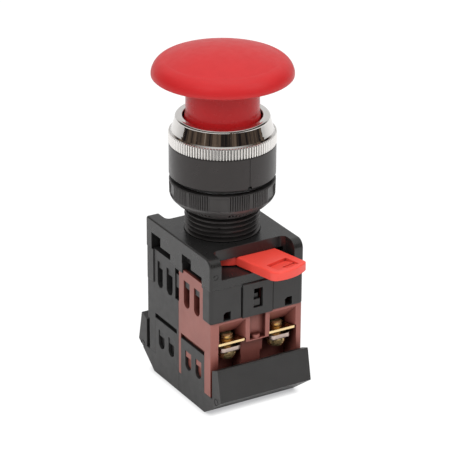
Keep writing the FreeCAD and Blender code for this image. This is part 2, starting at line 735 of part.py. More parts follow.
def contact_carrier():
    """Top plate, front and back skirts with snap tabs, hooked legs."""
    half_x, half_y, low = dim.base_half_x, dim.base_half_y, dim.carrier_low_z
    split, wrap = dim.base_split_z, dim.skirt_wrap_y
    plate_low, top = split - 0.6, split - 0.03
    block = box("CarrierBlock", (-half_x, half_x), (-half_y, half_y), (low, top))
    block = fillet("CarrierCorners", block, (upright, 1.1))
    block = fillet("CarrierLowEdge", block, (
        lambda mid, way: mid.z < low.value + 0.05 and abs(mid.y) > 18.9 and abs(way.x) > 0.9,
        0.45))
    tools = [box("CarrierRoom", (-14.3, 14.3), (-17.5, 17.5), (low - 1, plate_low)),
             box("CarrierSides", (-half_x - 1, half_x + 1), (-wrap, wrap), (low - 1, plate_low))]
    for hand, tag in HANDS:
        for end_tag, y in (("F", (-13.95, -2.75)), ("B", (4.35, 14.55))):
            tools.append(box("CarrierNotch" + tag + end_tag, side(hand, 14.16, half_x + 1), y,
                             (plate_low - 0.5, split + 1)))
    tools.append(cyl("CarrierBore", 9.6, plate_low - 1, split + 1, at=BUTTON_AXIS))
    for end, tag in ((-1, "F"), (1, "B")):
        tools += [box("TabRoom" + tag, (-5.35, 5.35), side(end, 17.3, 19.2),
                      (low - 1, split - 0.85)),
                  box("TongueSlot" + tag, (-1.6, 1.6), side(end, 17.45, 18.36),
                      (split - 2, split + 1))]
    tools.append(skirt_windows())
    parts = [cut("CarrierCut", block, tools)]
    for end, tag in ((-1, "F"), (1, "B")):
        tab = box("SnapTab" + tag, (-5.0, 5.0), side(end, 18.38, 19.5), (low - 0.02, top))
        tab = fillet("SnapTabRound" + tag, tab, (lambda mid, way: mid.y * end > 19.45, 0.3))
        parts.append(cut("SnapTabWindow" + tag, tab, [
            box("TabWindow" + tag, (-1.55, 1.55), side(end, 18, 20), (-33.45, -27.45))]))
    leg_low, leg_gap = -30.3, 0.2
    rib_y = (-0.15, 1.85)
    for hand, tag in HANDS:
        for k, (y0, y1) in enumerate(LEG_SLOTS):
            y = (y0 + leg_gap, y1 - leg_gap)
            parts += [box("Leg%s%d" % (tag, k), side(hand, 13.05, 14.12), y,
                          (leg_low, plate_low + 0.3)),
                      box("Hook%s%d" % (tag, k), side(hand, 14.0, 14.8), y, (leg_low, -28.25))]
        parts += [box("RibUp" + tag, side(hand, 13.5, 14.3), rib_y, (-32.2, plate_low + 0.3)),
                  box("RibLow" + tag, side(hand, 14.2, 14.9), rib_y, (-32.2, -28.0))]
    base_piece(fuse("ContactCarrier", parts), "contact_carrier")


# ============================================================ contact blocks
BLOCKS = ((-1, "NC", "nc"), (1, "NO", "no"))
# y range of the side plates that reach up into the housing's slots
EAR_Y = {-1: (-13.85, -2.85), 1: (4.45, 14.5)}
# outward y ranges of each cover's side tabs, and of the slots in them
COVER_TABS = {-1: ((1.3, 15.0), [(3.8, 7.3), (9.8, 13.2)]),
              1: ((1.1, 14.1), [(2.8, 6.2), (8.55, 12.1)])}
TERMINALS = [(end, hand) for end in (-1, 1) for hand in (-1, 1)]


def terminal_x(end, hand):
    return hand * dim.screw_x - end * dim.terminal_shift


def round_foot_slot(prefix, suffix, x, y, low, high):
    """Tools for an upright slot through a side wall, with a round lower end."""
    radius = (y[1] - y[0]) / 2.0
    return [box(prefix + "Slot" + suffix, x, y, (low + radius, high)),
            cyl(prefix + "SlotEnd" + suffix, radius, x[0], x[1],
                at=((y[0] + y[1]) / 2.0, low + radius), axis="X")]


def block_solids(end, tag):
    half_x, top = dim.block_half_x, dim.block_top_z
    carrier_low = dim.carrier_low_z
    solids = [
        box(tag + "Core", (-14.22, 14.22), side(end, 0.03, dim.block_front_in),
            (carrier_low - 0.2, top)),
        box(tag + "Walls", (-half_x, half_x), side(end, 0.03, dim.skirt_wrap_y - 0.05),
            (carrier_low - 0.2, top)),
        box(tag + "Lower", (-half_x, half_x), side(end, 0.03, dim.block_depth),
            (dim.block_low_z, carrier_low - 0.03))]
    return solids + [box("%sEar%d" % (tag, hand), side(hand, 14.22, half_x), EAR_Y[end],
                         (top - 0.5, -25.0)) for hand in (-1, 1)]


def block_middle_tools(end, tag):
    """Well, plunger chamber and the hollows along the block's middle."""
    low, well_low = dim.block_low_z, dim.well_low_z
    chamber_top = dim.chamber_top_z
    tools = [
        cyl(tag + "Well", dim.well_radius, well_low, dim.block_top_z + 1, at=BUTTON_AXIS),
        box(tag + "PinHole", (-2.06, 2.06), side(end, 5.44, 8.56),
            (chamber_top - 0.5, well_low + 0.5)),
        box(tag + "TonguePocket", (-1.7, 1.7), side(end, 12.6, 18), (-33.5, -27.3)),
        box(tag + "Chamber", (-11, 11), side(end, 1.2, dim.chamber_back),
            (dim.chamber_low_z, chamber_top)),
        box(tag + "Panel", side(-end, -4.15, 3.3), side(end, 16.5, 18.8), (low - 1, -44.35)),
        box(tag + "Channel", side(-end, -2.1, 3.1), side(end, 16.9, 18.8),
            (-44.0, dim.carrier_low_z - 0.1))]
    if end > 0:
        # rear lower corners stand clear of the cover's lip
        tools += [box("%sHeel%d" % (tag, hand), side(hand, 13.7, 15.5), (17.6, 18.8),
                      (low - 1, -48.9)) for hand in (-1, 1)]
    return tools


def block_side_tools(end, hand, name):
    """Terminal cavity, wire funnel and side slots of one half of a block."""
    low, top, plate_top = dim.block_low_z, dim.block_top_z, dim.plate_top_z
    cavity_in, cavity_out, back = dim.cavity_in, dim.cavity_out, dim.cavity_back
    shift = -end * dim.terminal_shift
    seen = -hand * end  # -1 for the left terminal seen from outside the block
    screw = seen * dim.screw_x + dim.terminal_shift
    middle_in, lower_in = (4.1, 3.9) if seen < 0 else (3.25, 2.5)
    lower_out = cavity_out + seen * dim.terminal_shift
    depth = side(end, back, 18.8)
    tools = [
        box(name + "Cavity1", shifted(hand, cavity_in, cavity_out, shift), depth,
            (-44.4, plate_top + 0.1)),
        box(name + "Cavity2", side(hand, middle_in, lower_out), depth, (-50.0, -44.3)),
        box(name + "Cavity3", side(hand, lower_in, lower_out), depth, (low - 1, -49.0)),
        box(name + "TipRoom", side(-end, screw - 2.05, screw + 2.95), side(end, back, 17.0),
            (plate_top, -41.2)),
        box(name + "PlateSlot", side(hand, 5.35, 9.65), side(end, 10.0, back + 0.2),
            (dim.plate_low_z - 0.05, plate_top + 0.05)),
        box(name + "SkirtPocket", side(-end, *WINDOW_X[seen]), side(end, 13.2, 18),
            (WINDOW_LOW_Z, WINDOW_TOP_Z)),
        box(name + "RibNotch", side(hand, 13.4, 15.5), (-0.3, 2.0),
            (dim.carrier_low_z, top + 1)),
        box(name + "TabRecess", side(hand, 14.2, 15.5), side(end, *COVER_TABS[end][0]),
            (low - 1, -45.8))]
    mouth = (shifted(hand, cavity_in + 0.1, cavity_out - 0.1, shift), (-43.0, -36.4))
    throat = (shifted(hand, 5.6, 11.0, shift), (-43.0, -42.0))
    low_end, high_end = (mouth, throat) if end < 0 else (throat, mouth)
    tools.append(wedge(name + "Funnel", side(end, 14.4, 18.8), low_end, high_end))
    for k, y in enumerate(LEG_SLOTS):
        if (y[0] + y[1]) * end > 0:
            tools.append(box("%sLegWay%d" % (name, k), side(hand, 13.0, 14.3), y,
                             (-30.6, top + 1)))
            tools += round_foot_slot(name, str(k), side(hand, 12.5, 15.5), y, -36.4, -28.1)
    return tools


def block_housing(end, tag, name):
    tools = block_middle_tools(end, tag)
    for hand, hand_tag in HANDS:
        tools += block_side_tools(end, hand, tag + hand_tag)
    # the shell, and a rounded shelf at the foot of the channel
    parts = [cut(tag + "Cut", fuse(tag + "Solid", block_solids(end, tag)), tools),
             cyl(tag + "Shelf", 1.5, -44.2, -42.9, at=(-end * 0.5, end * 16.9))]
    # nubs that stand in the slots of the cover's tabs
    for hand, hand_tag in HANDS:
        for k, (y0, y1) in enumerate(COVER_TABS[end][1]):
            parts.append(box("%s%sNub%d" % (tag, hand_tag, k), side(hand, 14.1, 15.0),
                             side(end, y0 + 0.15, y1 - 0.15), (-52.3, -50.45)))
    base_piece(fuse(tag + "Housing", parts), name + "_block_housing")


def terminal_plates(end, tag, name):
    """Plates with a screw hole in the outer part and a contact arm reaching inwards."""
    low, top = dim.plate_low_z, dim.plate_top_z
    for hand, hand_tag, hand_name in ((-1, "L", "left"), (1, "R", "right")):
        prefix = tag + hand_tag
        wide = box(prefix + "PlateWide", shifted(hand, 3.9, 13.0, -end * dim.terminal_shift),
                   side(end, 11.5, 18.3), (low, top))
        wide = fillet(prefix + "PlateRound", wide,
                      (lambda mid, way: upright(mid, way) and mid.y * end > 18, 0.5))
        arm = box(prefix + "PlateArm", side(hand, 5.45, 9.55), side(end, 5.4, 12.0), (low, top))
        arm = fillet(prefix + "ArmRound", arm,
                     (lambda mid, way: upright(mid, way) and mid.y * end < 6, 1.2))
        hole = cyl(prefix + "PlateHole", dim.screw_radius + 0.06, low - 1, top + 1,
                   at=(terminal_x(end, hand), end * dim.screw_y))
        base_piece(cut(prefix + "Terminal", fuse(prefix + "PlateSolid", [wide, arm]), [hole]),
                   "%s_terminal_%s" % (name, hand_name))


def terminal_screws():
    """M4 pan head screws with a cross recess, heads down."""
    crest, root, head = dim.screw_radius, 1.52, 2.95
    thread_top, pitch, rings = -41.95, 0.7, 7
    head_top, recess_top, recess_low = -46.63, -48.2, -49.6
    profile = [(0, -41.6), (1.3, -41.6)]
    for ring in range(rings):
        z = thread_top - pitch * ring
        profile += [(crest, z), (crest, z - 0.12), (root, z - 0.42)]
    # the last flank ends inside the head and leaves a small groove round the shank
    profile += [(crest, thread_top - pitch * rings), (crest, head_top), (head, head_top),
                (head, -47.75), (2.7, -48.0), (2.7, -48.35), (2.35, -49.1), (1.6, -49.45),
                (0, -49.45)]
    body = turned("ScrewBody", "ScrewTurned", profile)
    arm, half = 1.7, 0.36
    pocket(body, "RecessA", rect(-arm, arm, -half, half), recess_low, recess_top)
    pocket(body, "RecessB", rect(-half, half, -arm, arm), recess_low, recess_top)
    screws = []
    for i, (end, hand) in enumerate(TERMINALS):
        screw = spun(body.Shape.copy(), 23.0 + 31.0 * i)  # each at its own angle
        screw.translate(V(terminal_x(end, hand).value, end * dim.screw_y.value, 0))
        screws.append(screw)
    base_piece(feature("TerminalScrews", Part.makeCompound(screws)), "terminal_screws")


def clamp_washers():
    """Rounded square plates on the screws, just above the heads."""
    plate = box("ClampPlate", (-3.55, 3.55), (-3.1, 3.25), (-46.6, -45.05))
    plate = fillet("ClampRound", plate, (upright, 1.5))
    plate = fillet("ClampEdge", plate, (lambda mid, way: mid.z < -46.5, 0.35))
    plate = cut("ClampSolid", plate, [cyl("ClampHole", 2.05, -48, -44)])
    doc.recompute()
    clamps = []
    for end, hand in TERMINALS:
        at = V(terminal_x(end, hand).value, end * dim.screw_y.value, 0)
        clamp = plate.Shape.copy()
        if end > 0:
            clamp = spun(clamp, 180)
        clamp.translate(at)
        # mirrored, so that the longer side points away from the base's middle
        clamps.append(clamp.mirror(at, V(0, 1, 0)))
    base_piece(feature("ClampWashers", Part.makeCompound(clamps)), "clamp_washers")


def contact_tips(tag, name, kind, y, z, free_z):
    """Pair of round tips, each with its free face's edge rounded."""
    tips = []
    for hand in (-1, 1):
        tip = cyl("%s%sTip%d" % (tag, kind, hand + 1), 1.5, z[0], z[1], at=(7.5 * hand, y))
        tips.append(fillet("%s%sTipDome%d" % (tag, kind, hand + 1), tip,
                           (lambda mid, way: abs(mid.z - val(free_z)) < 0.02, 0.25)))
    pair = doc.addObject("Part::Compound", tag + kind + "Tips")
    pair.Links = tips
    base_piece(pair, "%s_%s_tips" % (name, kind.lower()))


def block_contacts(end, tag, name):
    """Tips, bridge, plunger and springs of one block."""
    y = end * dim.plunger_y
    fixed_height, moving_height = 0.7, 0.67
    if name == "nc":
        # bridge below the terminal plates, pushed up by its spring
        fixed_free, fixed_root = dim.plate_low_z - fixed_height, dim.plate_low_z
        fixed = (fixed_free, fixed_root)
        bridge_z, window = (-46.0, -45.2), (-49.8, -44.12)
        moving_free = bridge_z[1] + moving_height
        moving = (bridge_z[1], moving_free)
        spring_z, coils = (window[0], bridge_z[0]), 5.0
    else:
        # bridge above the terminal plates, pushed down by its spring
        fixed_root, fixed_free = dim.plate_top_z, dim.plate_top_z + fixed_height
        fixed = (fixed_root, fixed_free)
        bridge_z, window = (-37.6, -36.8), (-37.66, -33.9)
        moving_free = bridge_z[0] - moving_height
        moving = (moving_free, bridge_z[0])
        spring_z, coils = (bridge_z[1], window[1]), 4.0
    contact_tips(tag, name, "Fixed", y, fixed, fixed_free)
    contact_tips(tag, name, "Moving", y, moving, moving_free)

    bridge = box(tag + "Bridge", (-9.3, 9.3), (y - 1.6, y + 1.6), bridge_z)
    base_piece(fillet(tag + "BridgeRound", bridge, (upright, 1.2)), name + "_bridge")

    seat_z = -50.4
    solid = fuse(tag + "PlungerSolid", [
        box(tag + "PlungerPin", (-2.0, 2.0), (y - 1.3, y + 1.3), (-33.0, -24.93)),
        box(tag + "PlungerMain", (-3.5, 3.5), (y - 2.8, y + 2.8),
            (-52.0, dim.chamber_top_z - 0.1))])
    base_piece(cut(tag + "Plunger", solid, [
        box(tag + "Window", (-4.0, 4.0), (y - 1.8, y + 1.8), window),
        cyl(tag + "SpringSeat", 2.4, -53.0, seat_z, at=(0, y))]), name + "_plunger")

    base_piece(spring(tag + "ContactSpring", 1.25, 0.3, *spring_z, coils, y.value),
               name + "_contact_spring")
    base_piece(spring(tag + "BlockSpring", 1.9, 0.4, dim.chamber_low_z, seat_z, 5.0, y.value),
               name + "_return_spring")


# ============================================================ terminal covers
def cover_body(end, tag, low, top):
    """Hollow-free cover: a wedge with a raised lip, over a wider floor. Points are (y, z)."""
    lip_top, half_x, foot = dim.lip_top_z, dim.block_half_x, dim.cover_foot_y
    lip_profile = [
        (0.05, low), (foot, low), (dim.lip_wide, dim.lip_wide_z),
        (dim.lip_out, lip_top - 0.25), (dim.lip_out - 0.25, lip_top),
        (dim.lip_in, lip_top - 1.2), (dim.lip_in, top), (0.05, top)]
    floor_profile = [(0.05, low), (foot, low), (20.4, -61.62), (20.4, top), (0.05, top)]
    body = new_body("Cover%sBody" % tag)
    for name, profile, half in (("CoverWedge", lip_profile, dim.lip_half_x),
                                ("CoverFloor", floor_profile, half_x)):
        pad(body, name + tag, [(end * y, z) for y, z in profile], -half, half, "YZ_Plane")
    doc.recompute()
    return body


def terminal_cover(end, tag):
    """Cover under one block, with slotted side tabs and an outer lip."""
    half_x, low, top = dim.block_half_x, dim.cover_low_z, dim.block_low_z - 0.05
    over = top + 0.5
    prefix = "Cover" + tag
    parts, tools = [cover_body(end, tag, low, top)], []
    (tab_in, tab_out), slots = COVER_TABS[end]
    for hand, hand_tag in HANDS:
        parts.append(box(prefix + "Tab" + hand_tag, side(hand, 14.25, half_x),
                         side(end, tab_in + 0.05, tab_out - 0.05),
                         (top - 1.0, dim.cover_tab_top_z)))
        for k, (y0, y1) in enumerate(slots):
            tools += round_foot_slot(prefix, hand_tag + str(k), side(hand, 13.9, 15.6),
                                     side(end, y0, y1), -56.2, -50.4)
        # room for the screw head, closed below
        tools.append(cyl(prefix + "HeadRoom" + hand_tag, 3.3, low + 3.4, over,
                         at=(terminal_x(end, hand), end * 13.6)))
        # shallow ring mark on the side
        x0, x1 = side(hand, half_x - 0.15, half_x + 1)
        mark_at = (end * 21.9, -59.3)
        tools.append(cut(
            prefix + "Ring" + hand_tag,
            cyl(prefix + "RingOuter" + hand_tag, 1.15, x0, x1, at=mark_at, axis="X"),
            [cyl(prefix + "RingInner" + hand_tag, 0.8, x0 - 1, x1 + 1, at=mark_at, axis="X")]))
    tools += [box(prefix + "Hollow", (-12.6, 12.6), side(end, 1.7, 10.6), (-64.2, over)),
              box(prefix + "LipHollow", (-13.3, 13.3), side(end, 19.0, 21.2), (-57.6, -51.2))]
    base_piece(cut(prefix, fuse(prefix + "Solid", parts), tools),
               "terminal_cover_" + tag.lower())


# =================================================================== build
for make in (mushroom_cap, bezel_ring, head_body, stem_seal, panel_gasket, thrust_washer,
             ring_nut, button_plunger, plunger_foot, return_spring, detent_wire,
             adapter_housing, lock_lever, contact_carrier):
    make()
for block in BLOCKS:
    block_housing(*block)
for block in BLOCKS:
    terminal_plates(*block)
terminal_screws()
clamp_washers()
for block in BLOCKS:
    block_contacts(*block)
terminal_cover(-1, "Front")
terminal_cover(1, "Rear")

# ================================================================ write out
doc.recompute()
bad = []
for obj in doc.Objects:
    if "Invalid" in obj.State or "Error" in obj.State:
        bad.append("%s %s" % (obj.Name, obj.State))
for obj in PIECES:
    shape = obj.Shape
    if shape.isNull() or not shape.isValid() or shape.Volume <= 0 or not shape.Solids:
        bad.append("shape %s" % obj.Label)
if bad:
    raise RuntimeError("failed objects: " + "; ".join(bad))
os.makedirs("parts", exist_ok=True)
for obj in PIECES:
    obj.Shape.exportStep(os.path.join("parts", obj.Label + ".step"))
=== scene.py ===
# Push-button switch: a red cap, chrome ring and black head above, contact blocks below.
# The button is pushed along Z, with the cap on top; the floor lies at the lowest CAD point.
# Lengths are in metres.
import json
import math

import bpy
from mathutils import Matrix, Vector

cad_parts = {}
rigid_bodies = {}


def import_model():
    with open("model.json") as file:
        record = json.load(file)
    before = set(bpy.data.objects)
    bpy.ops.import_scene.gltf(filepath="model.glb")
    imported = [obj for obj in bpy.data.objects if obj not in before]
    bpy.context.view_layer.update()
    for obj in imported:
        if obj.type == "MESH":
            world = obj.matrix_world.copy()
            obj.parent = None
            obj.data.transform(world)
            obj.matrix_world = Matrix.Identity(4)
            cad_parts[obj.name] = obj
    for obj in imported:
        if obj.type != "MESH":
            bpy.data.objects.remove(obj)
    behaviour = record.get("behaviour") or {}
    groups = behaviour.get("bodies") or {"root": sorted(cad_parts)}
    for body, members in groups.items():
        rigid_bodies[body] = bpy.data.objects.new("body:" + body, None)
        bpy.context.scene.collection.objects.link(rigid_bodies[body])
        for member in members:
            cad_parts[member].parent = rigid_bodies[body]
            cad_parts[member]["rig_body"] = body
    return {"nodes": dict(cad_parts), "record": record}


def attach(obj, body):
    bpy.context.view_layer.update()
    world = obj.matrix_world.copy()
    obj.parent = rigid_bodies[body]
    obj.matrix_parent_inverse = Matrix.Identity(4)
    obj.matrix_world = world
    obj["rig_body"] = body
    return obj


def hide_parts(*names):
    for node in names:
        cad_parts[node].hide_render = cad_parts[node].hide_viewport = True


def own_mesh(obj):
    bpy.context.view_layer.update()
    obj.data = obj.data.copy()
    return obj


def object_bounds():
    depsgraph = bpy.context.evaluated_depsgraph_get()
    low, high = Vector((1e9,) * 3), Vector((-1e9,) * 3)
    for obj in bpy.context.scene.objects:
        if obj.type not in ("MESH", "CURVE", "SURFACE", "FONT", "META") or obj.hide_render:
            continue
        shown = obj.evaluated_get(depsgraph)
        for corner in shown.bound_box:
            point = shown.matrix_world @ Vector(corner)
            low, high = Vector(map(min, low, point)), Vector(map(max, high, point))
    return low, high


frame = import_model()
CAD_LOW, CAD_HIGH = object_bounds()
NODES = frame["nodes"]
SLOTS = {part["node"]: part["material_slot"] for part in frame["record"]["subparts"]}
MM = 0.001
CAMERA_AZIMUTH = math.radians(-30.43)  # about Z, from -Y; the world's room turns with it
scene = bpy.context.scene


# ------------------------------------------------------------------ node tools
def toned(colour, gain, lift=0.0):
    """The colour multiplied by gain, then raised by lift and capped at 1."""
    return tuple(min(1.0, channel * gain + lift) for channel in colour)


class Nodes:
    """Builds the nodes of one tree; most methods return an output socket."""

    def __init__(self, tree, space, curve="LINEAR"):
        self.tree = tree
        self.curve = curve
        tree.nodes.clear()
        self.coord = self.add("ShaderNodeTexCoord").outputs[space]

    def add(self, kind, inputs=None, **properties):
        node = self.tree.nodes.new(kind)
        for key, value in properties.items():
            setattr(node, key, value)
        self.fill(node, inputs or {})
        return node

    def fill(self, node, inputs):
        """Links or sets each input; colours get an alpha of 1."""
        for key, value in inputs.items():
            socket = node.inputs[key]
            if isinstance(value, bpy.types.NodeSocket):
                self.tree.links.new(value, socket)
            elif socket.type == "RGBA":
                socket.default_value = (*value, 1.0)
            else:
                socket.default_value = value

    def noise(self, scale, detail=3.0, roughness=0.55, coord=None, stretch=None):
        vector = coord or self.coord
        if stretch:
            mapping = self.add("ShaderNodeMapping", {"Scale": stretch, "Vector": vector})
            vector = mapping.outputs["Vector"]
        inputs = {"Scale": scale, "Detail": detail, "Roughness": roughness, "Vector": vector}
        return self.add("ShaderNodeTexNoise", inputs).outputs["Fac"]

    def ramp(self, value, start=0.3, end=0.7, low=0.0, high=1.0):
        """Maps start..end to low..high; the default span is the middle of a noise."""
        inputs = {"From Min": start, "From Max": end, "To Min": low, "To Max": high,
                  "Value": value}
        node = self.add("ShaderNodeMapRange", inputs, interpolation_type=self.curve)
        return node.outputs["Result"]

    def mix(self, factor, base, over):
        # sockets 6, 7 and output 2 are the colour ones
        node = self.add("ShaderNodeMix", {0: factor, 6: base, 7: over}, data_type="RGBA")
        return node.outputs[2]

    def math(self, operation, value, other=0.0):
        return self.add("ShaderNodeMath", {0: value, 1: other}, operation=operation).outputs[0]

    def multiply(self, value, factor):
        return self.math("MULTIPLY", value, factor)


class Material(Nodes):
    """A new material with a Principled surface."""

    def __init__(self, name):
        self.material = bpy.data.materials.new(name)
        self.material.use_nodes = True
        super().__init__(self.material.node_tree, "Object")
        self.bsdf = self.add("ShaderNodeBsdfPrincipled")
        self.output = self.add("ShaderNodeOutputMaterial", {"Surface": self.bsdf.outputs["BSDF"]})

    def surface(self, inputs):
        self.fill(self.bsdf, inputs)

    def rounded_normal(self, radius):
        return self.add("ShaderNodeBevel", {"Radius": radius}, samples=6).outputs["Normal"]

    def edge_highlight(self, base, colour, amount, radius):
        """Lays colour on the edges as a painted highlight, where the rounded normal leaves the
        true one.
        """
        rounded = self.rounded_normal(radius)
        true = self.add("ShaderNodeNewGeometry").outputs["Normal"]
        dot = self.add("ShaderNodeVectorMath", {0: rounded, 1: true}, operation="DOT_PRODUCT")
        edges = self.ramp(dot.outputs["Value"], start=0.995, end=0.80)
        return self.mix(self.multiply(edges, amount), base, colour)

    def occlusion_shade(self, distance, start, end, low, samples=8):
        """An occlusion factor for painted shade: falls to low in grooves, slots and deep
        openings; 1 in the open.
        """
        node = self.add("ShaderNodeAmbientOcclusion", {"Distance": distance}, samples=samples)
        return self.ramp(node.outputs["AO"], start, end, low)

    def height(self):
        return self.add("ShaderNodeSeparateXYZ", {0: self.coord}).outputs[2]

    def scale(self, colour, factor):
        inputs = {0: colour, "Scale": factor}
        return self.add("ShaderNodeVectorMath", inputs, operation="SCALE").outputs["Vector"]

    def bump(self, height, strength, distance, rounding):
        inputs = {"Strength": strength, "Distance": distance, "Height": height,
                  "Normal": self.rounded_normal(rounding)}
        self.surface({"Normal": self.add("ShaderNodeBump", inputs).outputs["Normal"]})


# ------------------------------------------------------------------- materials
def plastic(name, colour, roughness, grain=0.25, rounding=0.16 * MM, edge=0.35, specular=0.5,
            blotch=0.10, hollow=0.15, reach=3 * MM, shade_start=0.10, shade_end=0.55,
            inner=None, neck=None, lift=None, tint=(1.0, 0.98, 0.965)):
    """Moulded plastic: fine grain, slow blotches, edges painted paler as a highlight.

    hollow is the brightness of the painted shade left in cavities (1 for none), reach and shade_*
    its occlusion range, inner the colour of the painted shade in cavities, tint that of the
    specular light.
    """
    t = Material(name)
    blotches = t.ramp(t.noise(scale=160, detail=4))
    base = t.mix(blotches, toned(colour, 1.0 - blotch), toned(colour, 1.0 + blotch))
    specks = t.ramp(t.noise(scale=5200, detail=2, roughness=0.7), start=0.35, end=0.75)
    base = t.mix(t.multiply(specks, factor=0.10), base, toned(colour, gain=1.5, lift=0.01))
    # painted highlight: paler edges
    base = t.edge_highlight(base, toned(colour, gain=1.5, lift=0.035), edge, radius=0.22 * MM)
    # painted shade: an occlusion factor darkens the colour in cavities and weakens their specular
    # level
    painted_shade = 1.0
    if hollow < 1.0:
        painted_shade = t.occlusion_shade(reach, shade_start, shade_end, hollow)
    if inner:
        # painted shade: cavities take a deeper, more saturated colour where the shade falls
        base = t.mix(t.ramp(painted_shade, start=hollow, end=1.0), inner, base)
    if lift:
        # painted light: the lower face is made paler, standing in for light bounced up from the
        # floor
        base = t.scale(base, t.ramp(t.height(), **lift))
    base = t.scale(base, painted_shade)

    smudges = t.noise(scale=420, detail=5, roughness=0.6)
    rough = t.math("ADD", t.ramp(smudges, low=-0.05, high=0.05), roughness)
    shine = painted_shade
    if neck:
        # below the rim the part is smoother, with a weaker specular level
        span = {"start": neck["bottom"], "end": neck["top"]}
        smoother = t.ramp(t.height(), **span, low=neck["roughness"], high=0.0)
        rough = t.math("ADD", rough, smoother)
        shine = t.ramp(t.height(), **span, low=neck["specular"])
    t.surface({
        "Base Color": base,
        "Roughness": rough,
        "Specular IOR Level": t.multiply(shine, specular),
        "Specular Tint": tint,
        "Coat Roughness": 0.12,
    })
    fine = t.noise(scale=3300, roughness=0.6)
    coarse = t.multiply(t.noise(scale=500, detail=2), factor=0.6)
    t.bump(t.math("ADD", fine, coarse), grain, distance=0.02 * MM, rounding=rounding)
    return t.material


def metal(name, colour, roughness, streak=(1, 1, 1), grain=0.12, rounding=0.12 * MM, tint=None,
          spread=0.10, edge=0.25, groove=None, metallic=1.0, stain=0.40, lip=None):
    """Metal: drawn or tumbled texture, slight tarnish, edges painted brighter as a highlight.

    tint is the tarnish colour and stain its amount; streak stretches the fine noise,
    and spread is how far that noise moves the roughness.
    """
    t = Material(name)
    tarnish = t.ramp(t.noise(scale=420, detail=5, roughness=0.6), start=0.35, end=0.75)
    base = t.mix(t.multiply(tarnish, stain), colour, tint or toned(colour, gain=0.72))
    # painted highlight: brighter edges
    base = t.edge_highlight(base, toned(colour, gain=1.25, lift=0.05), edge, radius=0.15 * MM)
    # painted shade: the colour darkens in the flutes and other narrow hollows
    if groove:
        base = t.scale(base, t.occlusion_shade(**groove))
    fine = t.noise(scale=2600, roughness=0.65, stretch=streak)
    rough = t.math("ADD", t.ramp(fine, low=-spread / 2, high=spread / 2), roughness)
    if lip:
        # the flat lip on top is handled and less polished
        rough = t.math("ADD", rough, t.ramp(t.height(), **lip))
    t.surface({"Metallic": metallic, "Base Color": base, "Roughness": rough})
    t.bump(fine, grain, distance=0.01 * MM, rounding=rounding)
    return t.material


def rubber(name, colour):
    """Matt rubber with an uneven tone and a coarse grain."""
    t = Material(name)
    patches = t.ramp(t.noise(scale=900, detail=4))
    t.surface({
        "Base Color": t.mix(patches, toned(colour, gain=0.8), toned(colour, gain=1.3)),
        "Roughness": t.ramp(t.noise(scale=2400), low=0.6, high=0.8),
    })
    t.bump(t.noise(scale=4200), strength=0.4, distance=0.03 * MM, rounding=0.1 * MM)
    return t.material


